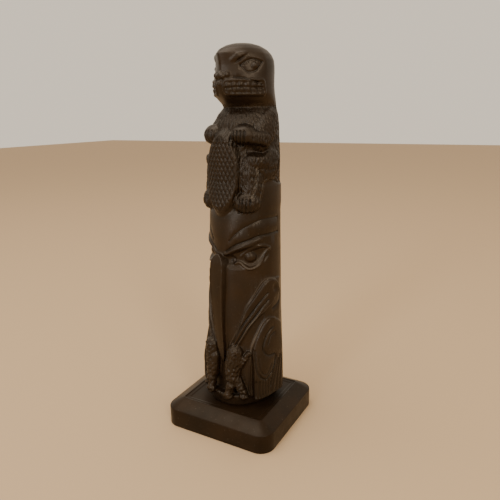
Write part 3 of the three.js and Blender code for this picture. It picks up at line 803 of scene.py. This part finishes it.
def makePlinth():
    width, depth = (plinthHigh.x - plinthLow.x) / mm, (plinthHigh.y - plinthLow.y) / mm
    middle = Matrix.Translation((0, 0, plinth["side"] / 2))
    block = middle @ Matrix.Diagonal((width, depth, plinth["side"], 1))
    shape = bmesh.new()
    bmesh.ops.create_cube(shape, size=1, matrix=block)
    upright = [edge for edge in shape.edges if abs(edge.verts[0].co.z - edge.verts[1].co.z) > 1]
    bmesh.ops.bevel(shape, geom=upright, offset=plinth["corner"], segments=plinth["cornerSegments"],
                    profile=0.5, affect="EDGES", material=-1)
    topFace = max(shape.faces, key=lambda face: face.calc_center_median().z)
    outline = [(vertex.co.x, vertex.co.y) for vertex in topFace.verts]
    for inset, below in plinth["steps"]:
        topFace = bmesh.ops.extrude_discrete_faces(shape, faces=[topFace])["faces"][0]
        for vertex, point in zip(topFace.verts, outline):
            x, y = drawnIn(point, inset, (width / 2, depth / 2))
            vertex.co = (x, y, plinthHigh.z / mm - below)
    bmesh.ops.recalc_face_normals(shape, faces=shape.faces)
    mesh = bpy.data.meshes.new("plinth_casting")
    shape.to_mesh(mesh)
    shape.free()
    mesh.transform(Matrix.Scale(mm, 4))
    piece = bpy.data.objects.new("plinth_casting", mesh)
    bpy.context.scene.collection.objects.link(piece)
    bevel = piece.modifiers.new("worn edges", "BEVEL")
    bevel.width = plinth["edge"] * mm
    bevel.segments = plinth["edgeSegments"]
    bevel.limit_method = "ANGLE"
    bevel.angle_limit = math.radians(plinth["edgeAngle"])
    bakeModifier(piece)
    shadeSmooth(piece)
    print("plinth made", len(piece.data.polygons))
    return piece


base = makePlinth()
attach(base, "root")
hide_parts("plinth")

# the finish: brown-black resin, browner in patches, pale on the chipped shin, pale along ridges as painted
# highlights, darker in the cuts as painted shade, specked with dust
finish = {
    "resin": (0.008, 0.0043, 0.0019, 1), "warm": (0.016, 0.0078, 0.003, 1),
    # the dust colour is for dust specks and chips, and it is also the painted highlight along ridges
    "dustAndHighlight": (0.16, 0.13, 0.095, 1), "deep": (0.0035, 0.002, 0.001, 1), "sheen": (1.0, 0.84, 0.66, 1),
    # noise scale and detail
    "patches": (55, 5), "specks": (900, 2), "gloss": (120, 4), "pits": (1400, 3), "noiseRough": 0.55,
    # the part of each noise or layer that counts, and what it is spread over
    "patchSpan": (0.35, 0.7), "speckSpan": (0.66, 0.78), "glossSpan": (0.3, 0.75),
    "chipHighlightSpan": (0.1, 1), "cutSpan": (0.05, 0.6),
    # how far the chips and painted highlights go to the pale colour, how dark the painted shade in the cuts
    # gets, and the roughness
    "chipHighlightSpread": (0, 1), "shadeInCuts": (0, 0.8), "rough": (0.31, 0.47),
    "bump": 0.25, "bumpDepth": 0.0002,
    "pole": {"dusty": 0.18, "ior": 1.37}, "plinth": {"dusty": 0.3, "ior": 1.26},
}


def makeResin(name, dusty, ior):
    material = bpy.data.materials.new(name)
    material.use_nodes = True
    nodes, links = material.node_tree.nodes, material.node_tree.links
    shader = nodes["Principled BSDF"]
    where = nodes.new("ShaderNodeTexCoord")

    def cloud(scale, detail):
        node = nodes.new("ShaderNodeTexNoise")
        node.inputs["Scale"].default_value = scale
        node.inputs["Detail"].default_value = detail
        node.inputs["Roughness"].default_value = finish["noiseRough"]
        links.new(where.outputs["Object"], node.inputs["Vector"])
        return node.outputs["Fac"]

    def layer(name):
        node = nodes.new("ShaderNodeAttribute")
        node.attribute_name = name
        return node.outputs["Fac"]

    def spread(source, span, over):
        node = nodes.new("ShaderNodeMapRange")
        node.inputs["From Min"].default_value, node.inputs["From Max"].default_value = span
        node.inputs["To Min"].default_value, node.inputs["To Max"].default_value = over
        links.new(source, node.inputs["Value"])
        return node.outputs["Result"]

    def blend(factor, a, b):
        node = nodes.new("ShaderNodeMix")
        node.data_type = "RGBA"
        links.new(factor, node.inputs["Factor"])
        for value, socket in ((a, node.inputs["A"]), (b, node.inputs["B"])):
            if isinstance(value, tuple):
                socket.default_value = value
            else:
                links.new(value, socket)
        return node.outputs["Result"]

    patches = spread(cloud(*finish["patches"]), finish["patchSpan"], (0, 1))
    tone = blend(patches, finish["resin"], finish["warm"])
    # pale colour on the chipped shin, and painted highlights along the ridges
    paintedHighlights = blend(spread(layer("chips_and_highlights"), finish["chipHighlightSpan"], finish["chipHighlightSpread"]), tone, finish["dustAndHighlight"])
    # painted shade: darker in the fine cuts
    sunk = blend(spread(layer("cut"), finish["cutSpan"], finish["shadeInCuts"]), paintedHighlights, finish["deep"])
    specks = spread(cloud(*finish["specks"]), finish["speckSpan"], (0, dusty))
    color = blend(specks, sunk, finish["dustAndHighlight"])
    links.new(color, shader.inputs["Base Color"])
    rough = spread(cloud(*finish["gloss"]), finish["glossSpan"], finish["rough"])
    links.new(rough, shader.inputs["Roughness"])
    bump = nodes.new("ShaderNodeBump")
    bump.inputs["Strength"].default_value = finish["bump"]
    bump.inputs["Distance"].default_value = finish["bumpDepth"]
    links.new(cloud(*finish["pits"]), bump.inputs["Height"])
    links.new(bump.outputs["Normal"], shader.inputs["Normal"])
    shader.inputs["IOR"].default_value = ior
    shader.inputs["Specular Tint"].default_value = finish["sheen"]
    return material


def dress(piece, material):
    piece.data.materials.clear()
    piece.data.materials.append(material)


dress(pole, makeResin("dark_resin", **finish["pole"]))
dress(base, makeResin("plinth_resin", **finish["plinth"]))
print("finishes made")

# the studio: a pale floor and big soft lights (place in m, width and height in m, watts, colour)
studio = {
    "floor": (0.5, 0.34, 0.19, 1), "floorHalf": 3, "floorRough": 0.7,
    "world": (1.0, 0.87, 0.7, 1), "worldPower": 0.95,
    "aim": (0, 0, 0.12),
    "lights": {
        "window": ((-0.1, -1.0, 0.5), (0.18, 0.9), 5, (0.8, 0.88, 1.0)),
        "room": ((0.8, -0.66, 0.8), (0.2, 0.8), 6, (1.0, 0.92, 0.82)),
        "ceiling": ((-0.25, -0.2, 1.2), (0.9, 0.9), 9, (1.0, 0.95, 0.88)),
    },
}


def addFloor():
    shape = bmesh.new()
    bmesh.ops.create_grid(shape, x_segments=1, y_segments=1, size=studio["floorHalf"])
    mesh = bpy.data.meshes.new("floor")
    shape.to_mesh(mesh)
    shape.free()
    floor = bpy.data.objects.new("floor", mesh)
    bpy.context.scene.collection.objects.link(floor)
    material = bpy.data.materials.new("pale_floor")
    material.use_nodes = True
    shader = material.node_tree.nodes["Principled BSDF"]
    shader.inputs["Base Color"].default_value = studio["floor"]
    shader.inputs["Roughness"].default_value = studio["floorRough"]
    mesh.materials.append(material)


def addLight(name, at, size, power, color):
    data = bpy.data.lights.new(name, "AREA")
    data.shape = "RECTANGLE"
    data.size, data.size_y = size
    data.energy = power
    data.color = color
    light = bpy.data.objects.new(name, data)
    bpy.context.scene.collection.objects.link(light)
    light.location = at
    aim = Vector(studio["aim"]) - Vector(at)
    light.rotation_euler = aim.to_track_quat("-Z", "Y").to_euler()


def addWorld():
    world = bpy.data.worlds.new("studio")
    bpy.context.scene.world = world
    world.use_nodes = True
    background = world.node_tree.nodes["Background"]
    background.inputs["Color"].default_value = studio["world"]
    background.inputs["Strength"].default_value = studio["worldPower"]


addFloor()
for lightName, light in studio["lights"].items():
    addLight(lightName, *light)
addWorld()
print("studio lit")
